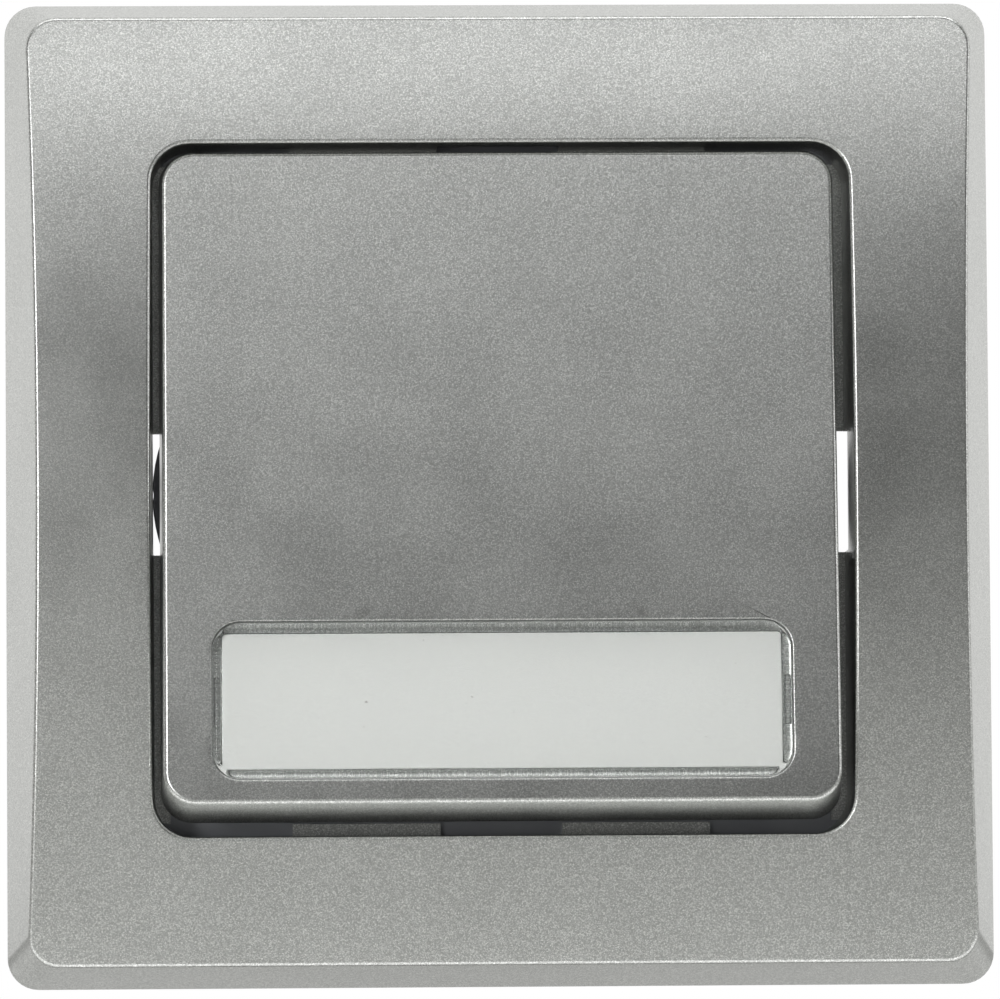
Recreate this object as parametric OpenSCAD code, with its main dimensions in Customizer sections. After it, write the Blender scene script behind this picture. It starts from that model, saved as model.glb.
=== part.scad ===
// Rocker wall switch for a 60 mm flush box: arched cover frame, rocker with a label field,
// zinc-plated support plate, and a two-way switch insert with push-in terminals.
// Millimetres. +Z is up, +X is to the right and -Y is the front. The wall's surface is the
// plane y = 0, and the origin is midway between the two fixing screws' seats.

/* [Cover frame] */
// Width and height of the frame at the wall
frame_size = 82; // [80:0.5:86]
// Height of the frame's face above the wall at mid-height
frame_crown = 10.8; // [10:0.1:12]
// Radius of the arched face, whose axis is along X
arch_radius = 228; // [200:1:300]
// Slope of the outer side walls, as run over rise
side_slope = 0.25; // [0.1:0.01:0.3]
// Wall thickness of the frame
frame_wall = 2; // [1.6:0.1:2.4]
// Width of the opening for the rocker, at the crown
opening_w = 57.9; // [57.5:0.1:58.5]
// Height of the opening for the rocker, at the crown
opening_h = 57.5; // [57.1:0.1:58.1]
// Width of the four notches that clear the heads of the fixing screws
notch_w = 10.1; // [8:0.1:12]

/* [Rocker] */
// Width of the rocker's face
rocker_w = 55.4; // [55:0.1:55.6]
// Height of the rocker's face
rocker_h = 54.1; // [53.7:0.1:54.3]
// Distance from the pivot axis to the rocker's face
rocker_reach = 8.93; // [8.8:0.01:9.1]
// Depth of the rocker's side walls
rocker_depth = 5.5; // [5:0.1:5.7]
// Rocking angle each side of level
rocker_tilt = 6.25; // [5:0.05:6.3]
// Distance from the wall to the pivot axis
pivot_height = 2; // [1.9:0.01:2.1]
// Side float of the rocker on its trunnions, at rest
side_float = 0.2; // [-0.2:0.1:0.2]

/* [Label field] */
// Width of the clear window
window_w = 47.4; // [46:0.1:48]
// Height of the clear window
window_h = 12.9; // [12:0.1:13.2]
// Corner radius of the window
window_r = 2.3; // [1.5:0.1:3]
// Height of the window's centre on the rocker
window_z = -18.6; // [-18.8:0.1:-18]
// Width of the label card
card_w = 45.8; // [44:0.1:46]
// Height of the label card
card_h = 11.15; // [10:0.05:11.3]

/* [Support plate] */
// Width and height of the plate
plate_size = 71; // [70:0.5:71]
// Thickness of the plate
plate_t = 1.2; // [1:0.1:1.2]
// Distance between the two screw seats
fixing_pitch = 60; // [60:1:60]
// Width of a screw seat
seat_w = 3.2; // [3:0.1:3.4]
// Overall length of a screw seat
seat_l = 3.4; // [3.2:0.1:3.6]
// Height of the side openings, in which the plate can be levelled
side_hole_h = 11; // [10.2:0.1:12]

/* [Insert] */
// Width and height of the insert's body
base_w = 42; // [41:0.5:43]
// Depth of the insert behind the wall's surface
base_depth = 24; // [23:0.5:26]
// Radius of the wire entry holes
entry_r = 1.7; // [1.5:0.05:1.8]
// Stroke of the release buttons
release_stroke = 1.2; // [0.8:0.1:1.2]
// Rocking angle of the contact lever each side of level
lever_tilt = 8; // [7:0.1:8.5]

/* [Hidden] */
$fn = 48;
eps = 0.01;

silver = [0.68, 0.69, 0.67];
zinc = [0.75, 0.76, 0.78];
brass = [0.78, 0.62, 0.32];
thermoset = [0.86, 0.86, 0.84];

frame_shift = 0.4;         // how far right the frame sits within its play on the plate
blank_h = 12;              // height of the block the frame is cut from, above the arch
opening_r = 3.2;           // corner radius of the frame's opening
opening_slope = 0.084;     // the opening narrows behind its front edge
throat = 8;                // height above the wall where the opening stops narrowing
skirt_half = 31;           // half width of the wall round the opening, outside
ledge_front = -1.9;        // front of the ledge that rests on the plate
ledge_half = 27.4;         // half width of the hole in the ledge
pad_end = 17.3;            // how far the upper and lower ledge pads reach from the centre
lug_x = 32.6;              // inner face of the plate's four lugs
lug_z = 18;                // height of the lugs' centres
lug_w = 8;                 // width of a lug
lug_top = -5.2;            // front end of a lug
crescent_x0 = 27.2;        // side opening: its inner corners, from the centre line
crescent_in = 28.4;        // the middle of its curved inner edge
crescent_x1 = 31.2;        // its straight outer edge
crescent_r = 14;           // radius of its inner edge
side_draft = 0.05;         // slope of the rocker's left and right walls
end_draft = 0.17;          // slope of the rocker's top and bottom walls
cap_t = 1.6;               // thickness of the rocker's face
cap_wall = 1.3;            // thickness of the rocker's side walls
window_t = 1.18;           // thickness of the clear window
card_t = 0.25;             // thickness of the label card
card_r = 0.3;              // corner radius of the label card
pocket_depth = 1.5;        // depth of the label pocket below the rocker's face
pocket_floor = 1;          // thickness of the pocket's floor
hook_x = 10;               // place of the rocker's hooks, from the centre
hook_z = 9;                // height of the rocker's hooks, from the centre
trunnion_r = 1.6;          // radius of the cradle's trunnions
trunnion_gap = 0.05;       // running clearance of the trunnions
bearing_r = 2.85;          // outside radius of a bearing
arm_room = 3.4;            // width of the slot for a cradle's arm
cheek_x = 17.6;            // inner face of the bearing cheeks
cheek_t = 2.3;             // thickness of a bearing cheek
bridge_front = -2.8;       // front face of the bearing bridge
bridge_size = 41;          // width and height of the bearing bridge
screw_at = 17;             // place of the bridge screws from both centre lines
screw_r = 1.2;             // radius of a bridge screw
post_r = 2.4;              // radius of the posts that take the bridge screws
base_r = 26.5;             // radius that trims the insert's corners
base_t = 1.8;              // wall thickness of the insert's body
floor_y = 18;              // inside face of the insert's rear cover
lever_y = 12.5;            // distance of the contact lever's axis behind the wall
lever_rise = 2.5;          // height of the lever's top face above its axis
lever_strip = 1;           // thickness of the lever's strip
contact_z = 9.5;           // distance of a contact from the lever's axis
contact_r = 1.6;           // radius of a contact
contact_t = 0.7;           // thickness of a contact
strip_t = 0.8;             // thickness of the terminal strips
cage_w = 8;                // width of a terminal cage
cage_h = 11;               // height of a terminal cage
entry_rise = 2.6;          // height of a wire entry above its cage's centre
button_drop = 2.6;         // distance of a release button below its cage's centre
plunger_r = 2.25;          // radius of the plunger
plunger_tip = 11.85;       // distance from the pivot axis to the plunger's tip
pocket_r = 2.35;           // radius of the plunger's pocket
spring_r = 1.75;           // radius of the plunger spring's coil
spring_wire = 0.25;        // radius of its wire
spring_turns = 6;          // number of its turns
terminal_common = [-12.5, 0];
terminal_upper = [12.5, 9];
terminal_lower = [12.5, -9];

// A flat shape in the X-Z plane, thickened from y0 back to y1.
module slab(y0, y1) {
    translate([0, y1, 0]) rotate([90, 0, 0]) linear_extrude(y1 - y0) children();
}

// A rectangle with round corners, about the origin.
module round_rect(w, h, r) {
    square([w - 2 * r, h], center = true);
    square([w, h - 2 * r], center = true);
    for (x = [-1, 1], z = [-1, 1]) translate([x * (w / 2 - r), z * (h / 2 - r)]) circle(r);
}

// A slot with round ends, along the first axis.
module slot(length, width) {
    square([length - width, width], center = true);
    for (x = [-1, 1]) translate([x * (length - width) / 2, 0]) circle(width / 2);
}

// A block given by its lowest corner and its highest corner.
module block(low, high) {
    translate(low) cube(high - low);
}

// A cylinder along X, between two X values.
module rod_x(r, x0, x1) {
    translate([x0, 0, 0]) rotate([0, 90, 0]) cylinder(h = x1 - x0, r = r);
}

// Everything behind the arched face, which stands crown above the wall.
module under_arch(crown) {
    translate([-50, arch_radius - crown, 0]) rotate([0, 90, 0])
        cylinder(h = 100, r = arch_radius, $fn = 720);
}

// A block with round corners whose four sides slope: w by h at y0, and
// the slopes widen it towards y1.
module tapered_block(y0, y1, w, h, r, slope_x, slope_z) {
    rise = y1 - y0;
    hull() {
        slab(y0, y0 + eps) round_rect(w, h, r, $fn = 32);
        slab(y1 - eps, y1)
            round_rect(w + 2 * rise * slope_x, h + 2 * rise * slope_z, r, $fn = 32);
    }
}

// The rocker's own frame: its origin on the pivot axis, its face level at -rocker_reach.
module on_rocker(tilt = -rocker_tilt) {
    translate([side_float, -pivot_height, 0]) rotate([tilt, 0, 0]) children();
}

// The contact lever's own frame, level, with its origin on its axis.
module on_lever() {
    translate([0, lever_y, 0]) rotate([lever_tilt, 0, 0]) children();
}

// One piece in front of the lever's lower and upper ends, on the tilt each end closes at.
module at_contact(end) {
    translate([0, lever_y, 0]) rotate([-end * lever_tilt, 0, 0])
        translate([0, -lever_rise + lever_strip, end * contact_z]) children();
}

module cover_frame() {
    w0 = frame_size - 2 * side_slope * blank_h;
    inner0 = w0 - 2 * frame_wall;
    color(silver) translate([frame_shift, 0, 0]) {
        difference() {
            intersection() {
                tapered_block(-blank_h, 0, w0, w0, 2, side_slope, side_slope);
                under_arch(frame_crown);
            }
            difference() {
                intersection() {
                    tapered_block(-blank_h, eps, inner0, inner0, 1, side_slope, side_slope);
                    under_arch(frame_crown - frame_wall);
                }
                slab(-blank_h - 1, -plate_t)
                    round_rect(2 * skirt_half, 2 * skirt_half, 4);
                // Ribs that grip the plate's lugs from above and below
                for (x = [-1, 1], z = [-1, 1], e = [-1, 1])
                    translate([x * (lug_x + plate_t / 2), 0, z * lug_z + e * (lug_w / 2 + 0.8)])
                        block([-2, -blank_h - 1, -0.6], [4.5, -plate_t - 0.3, 0.6]);
            }
            opening();
            screw_notches();
        }
        ledge();
    }
}

// The hole through the frame's face, down to the ledge.
module opening() {
    w = opening_w - 2 * (frame_crown - throat) * opening_slope;
    h = opening_h - 2 * (frame_crown - throat) * opening_slope;
    mirror([0, 1, 0])
        tapered_block(throat, 13, w, h, opening_r, opening_slope, opening_slope);
    slab(-throat - eps, -1) round_rect(w, h, opening_r, $fn = 32);
}

// Room under the frame for the heads of the four fixing screws.
module screw_notches() {
    for (a = [0:90:270]) rotate([0, a, 0])
        block([ledge_half - 1, -6, -notch_w / 2], [34.5, 0, notch_w / 2]);
}

// The ledge at the foot of the opening, which rests on the plate.
module ledge() {
    slab(ledge_front, -plate_t) difference() {
        round_rect(2 * skirt_half, 2 * skirt_half, 4);
        square(2 * ledge_half, center = true);
        for (a = [0, 90]) rotate(a) square([80, notch_w], center = true);
        for (x = [-1, 1], z = [-1, 1])
            translate([x * (pad_end + 10), z * (pad_end + 14)]) square([20, 8], center = true);
    }
}

module rocker_cap() {
    rim = -rocker_reach + rocker_depth;
    tray_back = -rocker_reach + pocket_depth + pocket_floor;
    w_in = rocker_w - 2 * cap_wall;
    h_in = rocker_h - 2 * cap_wall;
    color(silver) on_rocker() {
        difference() {
            union() {
                difference() {
                    tapered_block(-rocker_reach, rim, rocker_w, rocker_h, 2.6,
                        side_draft, end_draft);
                    tapered_block(-rocker_reach + cap_t, rim + eps, w_in, h_in, 2,
                        side_draft, end_draft);
                }
                // Tray behind the label pocket
                translate([0, 0, window_z]) slab(-rocker_reach + 1, tray_back)
                    square([window_w + 3, window_h + 2.4], center = true);
                // Hooks that hold the cradle
                for (x = [-1, 1], z = [-1, 1]) translate([x * hook_x, 0, z * hook_z]) {
                    block([-2, -rocker_reach + 1, -0.6], [2, -2.2, 0.6]);
                    block([-2, -3.4, z * 0.6 - 0.6], [2, -2.6, z * 0.6 + 0.6]);
                }
                // Stiffening ribs along the face
                for (x = [-1, 1]) translate([x * 21, 0, 0])
                    block([-0.5, -rocker_reach + 1, -10.5], [0.5, -rocker_reach + 3, 24]);
            }
            // Pocket for the card and the window
            translate([0, 0, window_z]) {
                slab(-rocker_reach - 1, -rocker_reach + pocket_depth)
                    round_rect(window_w + 0.1, window_h + 0.1, window_r);
                for (x = [-1, 1]) translate([x * (window_w / 2 - 0.45), 0, 0])
                    block([-0.5, -rocker_reach + 1, -1.7], [0.5, -rocker_reach + 4, 1.7]);
            }
        }
    }
}

module label_window() {
    under = -rocker_reach + window_t;
    color([0.9, 0.93, 0.95, 0.35]) on_rocker() translate([0, 0, window_z]) {
        difference() {
            slab(-rocker_reach, -rocker_reach + pocket_depth - 0.02)
                round_rect(window_w, window_h, window_r);
            slab(under, 0) round_rect(card_w + 0.2, card_h + 0.2, card_r + 0.1);
        }
        // Clips at the two ends, which snap through the tray
        for (x = [-1, 1]) translate([x * (window_w / 2 - 0.45), 0, 0])
            block([-0.35, under, -1.5], [0.35, -rocker_reach + 3.3, 1.5]);
    }
}

module label_card() {
    back = -rocker_reach + pocket_depth - 0.02;
    color("white") on_rocker() translate([0, 0, window_z])
        slab(back - card_t, back) round_rect(card_w, card_h, card_r);
}

// A crescent to level the plate in, with a seat for the fixing screw at its middle.
module fixing_opening() {
    difference() {
        translate([crescent_x0, -side_hole_h / 2]) square([crescent_x1 - crescent_x0, side_hole_h]);
        translate([crescent_in - crescent_r, 0]) circle(crescent_r, $fn = 96);
    }
    translate([fixing_pitch / 2, 0]) slot(seat_l, seat_w);
}

module support_plate() {
    color(zinc) {
        slab(-plate_t, 0) difference() {
            round_rect(plate_size, plate_size, 4);
            square(30, center = true);
            square([2 * (cheek_x + cheek_t) + 1, 9], center = true);
            for (a = [0, 180]) rotate(a) fixing_opening();
            for (x = [-1, 1], z = [-1, 1]) {
                translate([x * screw_at, z * screw_at]) circle(screw_r + 0.1);
                translate([x * (lug_x - 0.5), z * lug_z]) square([1, lug_w + 1.5], center = true);
            }
        }
        // Four lugs bent up to hold the frame
        for (x = [-1, 1], z = [-1, 1]) translate([x * (lug_x + plate_t / 2), 0, z * lug_z])
            block([-plate_t / 2, lug_top, -lug_w / 2], [plate_t / 2, -plate_t + eps, lug_w / 2]);
    }
}

module bearing_bridge() {
    color(thermoset) difference() {
        union() {
            slab(bridge_front, -plate_t) round_rect(bridge_size, bridge_size, 2);
            for (x = [-1, 1]) {
                x0 = x > 0 ? cheek_x : -cheek_x - cheek_t;
                intersection() {
                    translate([0, -pivot_height, 0]) rod_x(bearing_r, x0, x0 + cheek_t);
                    block([-30, -10, -10], [30, -0.1, 10]);
                }
                block([x0, -pivot_height, -4], [x0 + cheek_t, -0.1, 4]);
            }
        }
        slab(-20, 20) square([8.8, 11], center = true);
        translate([0, -pivot_height, 0])
            rod_x(trunnion_r + trunnion_gap, -cheek_x - cheek_t - 1, cheek_x + cheek_t + 1);
        // Room for the cradle's arms
        for (x = [-1, 1]) translate([x * (cheek_x - arm_room / 2), 0, 0])
            block([-arm_room / 2, -4, -4.2], [arm_room / 2, 0, 4.2]);
        for (x = [-1, 1], z = [-1, 1]) translate([x * screw_at, 0, z * screw_at])
            slab(-4, 0) circle(screw_r + 0.1);
    }
}

module bridge_screws() {
    color(zinc) for (x = [-1, 1], z = [-1, 1]) translate([x * screw_at, 0, z * screw_at])
        difference() {
            union() {
                slab(bridge_front - 1.2, bridge_front) circle(2.2);
                slab(bridge_front - eps, 8) circle(screw_r);
            }
            for (a = [0, 90]) rotate([0, a, 0])
                block([-1.4, bridge_front - 2, -0.25], [1.4, bridge_front - 0.5, 0.25]);
        }
}

// Outline of the insert's body, a square with its corners trimmed round.
module base_outline(inset = 0) {
    intersection() {
        square(base_w - 2 * inset, center = true);
        circle(base_r - inset, $fn = 96);
    }
}

module base_housing() {
    color(thermoset) difference() {
        union() {
            slab(0, floor_y) difference() {
                base_outline();
                base_outline(base_t);
            }
            // Corner posts for the bridge screws
            for (x = [-1, 1], z = [-1, 1])
                translate([x * screw_at, 0, z * screw_at]) slab(0, floor_y) circle(post_r);
        }
        for (x = [-1, 1], z = [-1, 1]) translate([x * screw_at, 0, z * screw_at])
            slab(-1, 9) circle(screw_r + 0.05);
    }
}

// The rear cover, with a wire entry and a release button's hole behind each terminal.
module rear_cover() {
    color(thermoset) difference() {
        union() {
            slab(floor_y, base_depth) base_outline();
            // Seats that carry the terminals
            for (t = [terminal_common, terminal_upper, terminal_lower])
                translate([t.x, 0, t.y]) slab(floor_y - 0.3, floor_y + 1)
                    square([cage_w, cage_h], center = true);
        }
        for (t = [terminal_common, terminal_upper, terminal_lower]) {
            translate([t.x, 0, t.y + entry_rise]) slab(floor_y - 1, base_depth + 1)
                circle(entry_r);
            translate([t.x, 0, t.y - button_drop]) slab(floor_y - 1, base_depth + 1)
                square([3.6, 2.6], center = true);
        }
    }
}

module rocker_cradle() {
    plate_back = -3.6;
    color([0.82, 0.82, 0.8]) on_rocker() {
        difference() {
            union() {
                block([-17.3, plate_back - 1.6, -12], [17.3, plate_back, 12]);
                rod_x(trunnion_r, -cheek_x - cheek_t + 0.1, cheek_x + cheek_t - 0.1);
                for (x = [-1, 1]) {
                    x0 = x > 0 ? 15 : -17.3;
                    rod_x(2.2, x0, x0 + 2.3);
                    block([x0, plate_back - eps, -2.2], [x0 + 2.3, 0, 2.2]);
                }
                slab(plate_back - 1.6, 4) circle(3.5);
                for (x = [-1, 1]) block([min(x * 3, x * 16), plate_back, -0.6],
                    [max(x * 3, x * 16), -1.9, 0.6]);
            }
            slab(plate_back - 0.6, 5) circle(pocket_r);
            for (x = [-1, 1], z = [-1, 1]) translate([x * hook_x, 0, z * hook_z])
                block([-2.2, -20, -0.8], [2.2, 20, 0.8]);
            // The middle stays open between the arms and the pocket
            for (x = [-1, 1]) translate([x * 9.35, 0, 0])
                block([-5.6, -1.85, -3], [5.6, 3, 3]);
        }
    }
}

module plunger() {
    color([0.2, 0.2, 0.22]) on_rocker() {
        slab(0.6, plunger_tip - plunger_r) circle(plunger_r);
        translate([0, plunger_tip - plunger_r, 0]) sphere(plunger_r);
        slab(-1.2, 0.7) circle(1.1);
    }
}

// A point of the spring's wire: a turns of the coil, and b round the wire's section.
function coil_point(a, b, y0, pitch) = let (r = spring_r + spring_wire * cos(b))
    [r * cos(a), y0 + pitch * a / 360 + spring_wire * sin(b), r * sin(a)];

module plunger_spring() {
    sides = 6;
    steps = 16 * spring_turns;
    y0 = -3.6 - 0.6 + spring_wire + 0.1;
    pitch = (0.6 - 2 * spring_wire - 0.2 + 3.6 + 0.6) / spring_turns;
    points = [for (i = [0:steps], j = [0:sides - 1])
        coil_point(i * 360 * spring_turns / steps, j * 360 / sides, y0, pitch)];
    walls = [for (i = [0:steps - 1], j = [0:sides - 1]) let (k = (j + 1) % sides)
        [i * sides + j, i * sides + k, (i + 1) * sides + k, (i + 1) * sides + j]];
    ends = [[for (j = [sides - 1:-1:0]) j], [for (j = [0:sides - 1]) steps * sides + j]];
    color(zinc) on_rocker() polyhedron(points, concat(walls, ends));
}

module contact_lever() {
    color(brass) on_lever() difference() {
        union() {
            block([-4, -lever_rise, -contact_z - 2], [4, -lever_rise + lever_strip, contact_z + 2]);
            rod_x(1.9, -4, 4);
            block([-4, -lever_rise, -1.9], [4, 0, 1.9]);
        }
        rod_x(1.05, -5, 5);
        for (end = [-1, 1]) translate([0, 0, end * contact_z]) slab(-3, 0) circle(0.8);
    }
}

module lever_pin() {
    color(zinc) translate([0, lever_y, 0]) rod_x(1, -5.2, 5.2);
}

module moving_contacts() {
    color(zinc) on_lever() for (end = [-1, 1]) translate([0, 0, end * contact_z]) {
        slab(-lever_rise + lever_strip, -lever_rise + lever_strip + contact_t) circle(contact_r);
        slab(-lever_rise - 0.3, -lever_rise + lever_strip + eps) circle(0.8);
    }
}

module fixed_contacts() {
    color(zinc) for (end = [-1, 1]) at_contact(end)
        slab(contact_t + 0.06, 2 * contact_t + 0.06) circle(contact_r);
}

// A cage that holds one wire and its clamp spring, open at the rear.
module cage(t) {
    translate([t.x, 0, t.y]) slab(12, floor_y - 0.3) difference() {
        square([cage_w, cage_h], center = true);
        square([cage_w - 2 * strip_t, cage_h - 2 * strip_t], center = true);
    }
}

module common_terminal() {
    color(brass) difference() {
        union() {
            cage(terminal_common);
            block([-9, 15.2, -3], [5.6, 15.2 + strip_t, 3]);
            for (x = [-5.6, 4.6]) {
                block([x, lever_y, -2], [x + 1, 15.3, 2]);
                translate([0, lever_y, 0]) rod_x(2, x, x + 1);
            }
        }
        translate([0, lever_y, 0]) rod_x(1.02, -6.5, 6);
    }
}

// A strip from a fixed contact across to its cage.
module side_terminal(t, end) {
    color(brass) {
        cage(t);
        at_contact(end) slab(2 * contact_t + 0.06, 2 * contact_t + 0.06 + strip_t)
            translate([3.5, 0]) square([11, 4.4], center = true);
    }
}

module upper_terminal() {
    side_terminal(terminal_upper, 1);
}

module lower_terminal() {
    side_terminal(terminal_lower, -1);
}

// A leaf spring that grips the wire: a back leaf, a bend and a slanted tongue.
module clamp_spring(t) {
    color([0.62, 0.63, 0.65]) translate([t.x, 0, t.y]) {
        block([-2.2, 12.6, 4.2], [2.2, 17, 4.5]);
        block([-2.2, 12.6, -1.2], [2.2, 12.9, 4.5]);
        translate([0, 12.75, -1.05]) rotate([25, 0, 0]) block([-2.2, 0, -0.15], [2.2, 4.4, 0.15]);
    }
}

module common_clamp_spring() {
    clamp_spring(terminal_common);
}

module upper_clamp_spring() {
    clamp_spring(terminal_upper);
}

module lower_clamp_spring() {
    clamp_spring(terminal_lower);
}

// A button that is pressed in from behind to free the wire.
module release_button(t) {
    color([0.85, 0.45, 0.12]) translate([t.x, 0, t.y - button_drop]) {
        slab(14.8, base_depth + release_stroke) square([3, 2], center = true);
        slab(16.8, 17.5) square([4.6, 3], center = true);
    }
}

module common_release_button() {
    release_button(terminal_common);
}

module upper_release_button() {
    release_button(terminal_upper);
}

module lower_release_button() {
    release_button(terminal_lower);
}

cover_frame();
rocker_cap();
label_window();
label_card();
support_plate();
bearing_bridge();
bridge_screws();
base_housing();
rear_cover();
rocker_cradle();
plunger();
plunger_spring();
contact_lever();
lever_pin();
moving_contacts();
fixed_contacts();
common_terminal();
upper_terminal();
lower_terminal();
common_clamp_spring();
upper_clamp_spring();
lower_clamp_spring();
common_release_button();
upper_release_button();
lower_release_button();
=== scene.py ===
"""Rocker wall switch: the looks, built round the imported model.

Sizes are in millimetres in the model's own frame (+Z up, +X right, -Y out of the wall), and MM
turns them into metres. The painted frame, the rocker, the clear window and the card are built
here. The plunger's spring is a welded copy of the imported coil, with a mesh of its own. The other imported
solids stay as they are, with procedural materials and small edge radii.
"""

import math

import bmesh
import bpy
from mathutils import Matrix, Vector


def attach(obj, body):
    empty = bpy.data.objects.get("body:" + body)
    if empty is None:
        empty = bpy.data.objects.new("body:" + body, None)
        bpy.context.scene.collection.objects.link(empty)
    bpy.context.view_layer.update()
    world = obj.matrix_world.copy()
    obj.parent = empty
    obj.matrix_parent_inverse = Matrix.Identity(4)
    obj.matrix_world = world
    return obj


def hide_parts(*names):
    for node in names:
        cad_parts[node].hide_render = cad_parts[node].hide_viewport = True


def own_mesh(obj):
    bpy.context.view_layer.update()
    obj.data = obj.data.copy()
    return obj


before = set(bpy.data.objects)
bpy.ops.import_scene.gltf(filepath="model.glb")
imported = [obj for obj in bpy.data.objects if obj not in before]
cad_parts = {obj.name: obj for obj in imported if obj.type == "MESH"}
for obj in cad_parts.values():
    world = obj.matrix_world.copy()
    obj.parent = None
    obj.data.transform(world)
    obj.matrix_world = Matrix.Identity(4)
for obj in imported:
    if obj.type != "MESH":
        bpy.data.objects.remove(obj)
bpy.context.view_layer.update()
MM = 0.001
WELD_GAP = 0.001 * MM

# ---------------------------------------------------------------- sizes, as in the CAD model
FRAME_HALF = 41.0
FRAME_SHIFT = 0.4
CROWN = 10.8
ARCH_RADIUS = 228.0
SIDE_SLOPE = 0.25
FRAME_WALL = 2.0
OPENING_HALF_W = 28.95
OPENING_HALF_H = 28.75
OPENING_R = 3.2
OPENING_SLOPE = 0.084
THROAT = 8.0
SKIRT_HALF = 31.0
SKIRT_R = 4.0
PLATE_T = 1.2
LEDGE_FRONT = 1.9
LEDGE_BACK = PLATE_T + 0.05
LEDGE_HALF = 27.4
SIDE_PAD_END = 27.3
END_PAD_END = 17.3
NOTCH_HALF = 5.05
NOTCH_DEPTH = 6.0
NOTCH_REACH = 34.5
LUG_X = 32.6
LUG_Z = 18.0
LUG_W = 8.0
RIB_OFFSET = 0.8
RIB_HALF = 0.6

PIVOT_HEIGHT = 2.0
SIDE_FLOAT = 0.2
ROCKER_TILT = math.radians(6.25)
ROCKER_HALF_W = 27.7
ROCKER_HALF_H = 27.05
ROCKER_REACH = 8.93
ROCKER_DEPTH = 5.5
ROCKER_R = 2.6
SIDE_DRAFT = 0.05
END_DRAFT = 0.17
CAP_WALL = 1.3
CAP_T = 1.6
HOOK_X = 10
HOOK_Z = 9
HOOK_HALF_W = 2
HOOK_HALF_T = 0.6
STIFFENER_X = 21
STIFFENER_HALF_T = 0.5
WINDOW_W = 47.4
WINDOW_H = 12.9
WINDOW_R = 2.3
WINDOW_Z = -18.6
WINDOW_T = 1.18
CARD_W = 45.8
CARD_H = 11.15
CARD_T = 0.25
CARD_R = 0.3
POCKET_DEPTH = 1.5

# sizes that differ from the CAD model's, or that it leaves out
FRAME_CORNER_R = 2.6
ROCKER_CROWN = 0.08
POCKET_ROUND = 0.16
# a clip and its recess: distance in from the window's end, half width, half height
CLIP = (0.3, 0.28, 2.0)
CLIP_DEPTH = 0.37
CLIP_RECESS = (0.27, 0.33, 2.05)
RECESS_DEPTH = 0.4

# in the rocker's own frame: where its inner pieces start, the pocket's floor, the window's place
ROCKER_INSIDE = -ROCKER_REACH + 1
POCKET_BACK = -ROCKER_REACH + POCKET_DEPTH
WINDOW_PLACE = Matrix.Translation((0, 0, WINDOW_Z * MM))

CORNER_STEPS = 8
SIDE_STEPS = 26
LOOP = 4 * (CORNER_STEPS + SIDE_STEPS)
FILLET_STEPS = 6
FACE_STEPS = 9
MEET_STEPS = 5


# ---------------------------------------------------------------- mesh helpers
def loop_point(i, half_w, half_h, radius):
    """Point i of a round-cornered rectangle in X and Z. Every loop has the same number of points."""
    per_quarter = CORNER_STEPS + SIDE_STEPS
    corner, k = divmod(i, per_quarter)
    signs = [(1, 1), (-1, 1), (-1, -1), (1, -1)]
    sx, sz = signs[corner]
    centre = Vector((sx * (half_w - radius), sz * (half_h - radius)))
    start = corner * math.pi / 2
    if k <= CORNER_STEPS:
        turn = start + math.pi / 2 * k / CORNER_STEPS
        return centre + radius * Vector((math.cos(turn), math.sin(turn)))
    end_turn = start + math.pi / 2
    here = centre + radius * Vector((math.cos(end_turn), math.sin(end_turn)))
    nx, nz = signs[(corner + 1) % 4]
    next_centre = Vector((nx * (half_w - radius), nz * (half_h - radius)))
    there = next_centre + radius * Vector((math.cos(end_turn), math.sin(end_turn)))
    return here.lerp(there, (k - CORNER_STEPS) / SIDE_STEPS)


def at_depth(p, y):
    """Point p of an outline, which holds X and Z, at depth y."""
    return Vector((p.x, y, p.y))


def across(columns):
    """Turns columns of points, one for each point of the loop, into rings."""
    return [list(ring) for ring in zip(*columns)]


def fillet(a, corner, b):
    """Points of a near-circular arc from a to b, tangent to both sides of the corner."""
    u, v = (a - corner).normalized(), (b - corner).normalized()
    weight = math.sin(u.angle(v) / 2)
    points = []
    for k in range(FILLET_STEPS + 1):
        t = k / FILLET_STEPS
        wa, wc, wb = (1 - t) ** 2, 2 * t * (1 - t) * weight, t * t
        points.append((a * wa + corner * wc + b * wb) / (wa + wc + wb))
    return points


def skin(bm, rings, closed=False, slots=None):
    """Faces between rings of vertices, each ring a list of points in millimetres."""
    made = [[bm.verts.new(p * MM) for p in ring] for ring in rings]
    count = len(made)
    for r in range(count if closed else count - 1):
        low, high = made[r], made[(r + 1) % count]
        for i in range(len(low)):
            j = (i + 1) % len(low)
            face = bm.faces.new((low[i], low[j], high[j], high[i]))
            face.smooth = True
            if slots:
                face.material_index = slots[r]
    return made


def box_into(bm, low, high, slot):
    """A block between two corners, in millimetres."""
    made = bmesh.ops.create_cube(bm, size=1.0)["verts"]
    low, high = Vector(low), Vector(high)
    for v in made:
        v.co = Vector([low[k] + (v.co[k] + 0.5) * (high[k] - low[k]) for k in range(3)]) * MM
    for face in {f for v in made for f in v.link_faces}:
        face.material_index = slot


def to_object(bm, name, materials):
    """A new object from bm, with its faces turned outwards."""
    bmesh.ops.recalc_face_normals(bm, faces=bm.faces)
    mesh = bpy.data.meshes.new(name)
    bm.to_mesh(mesh)
    bm.free()
    for material in materials:
        mesh.materials.append(material)
    made = bpy.data.objects.new(name, mesh)
    bpy.context.scene.collection.objects.link(made)
    return made


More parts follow.
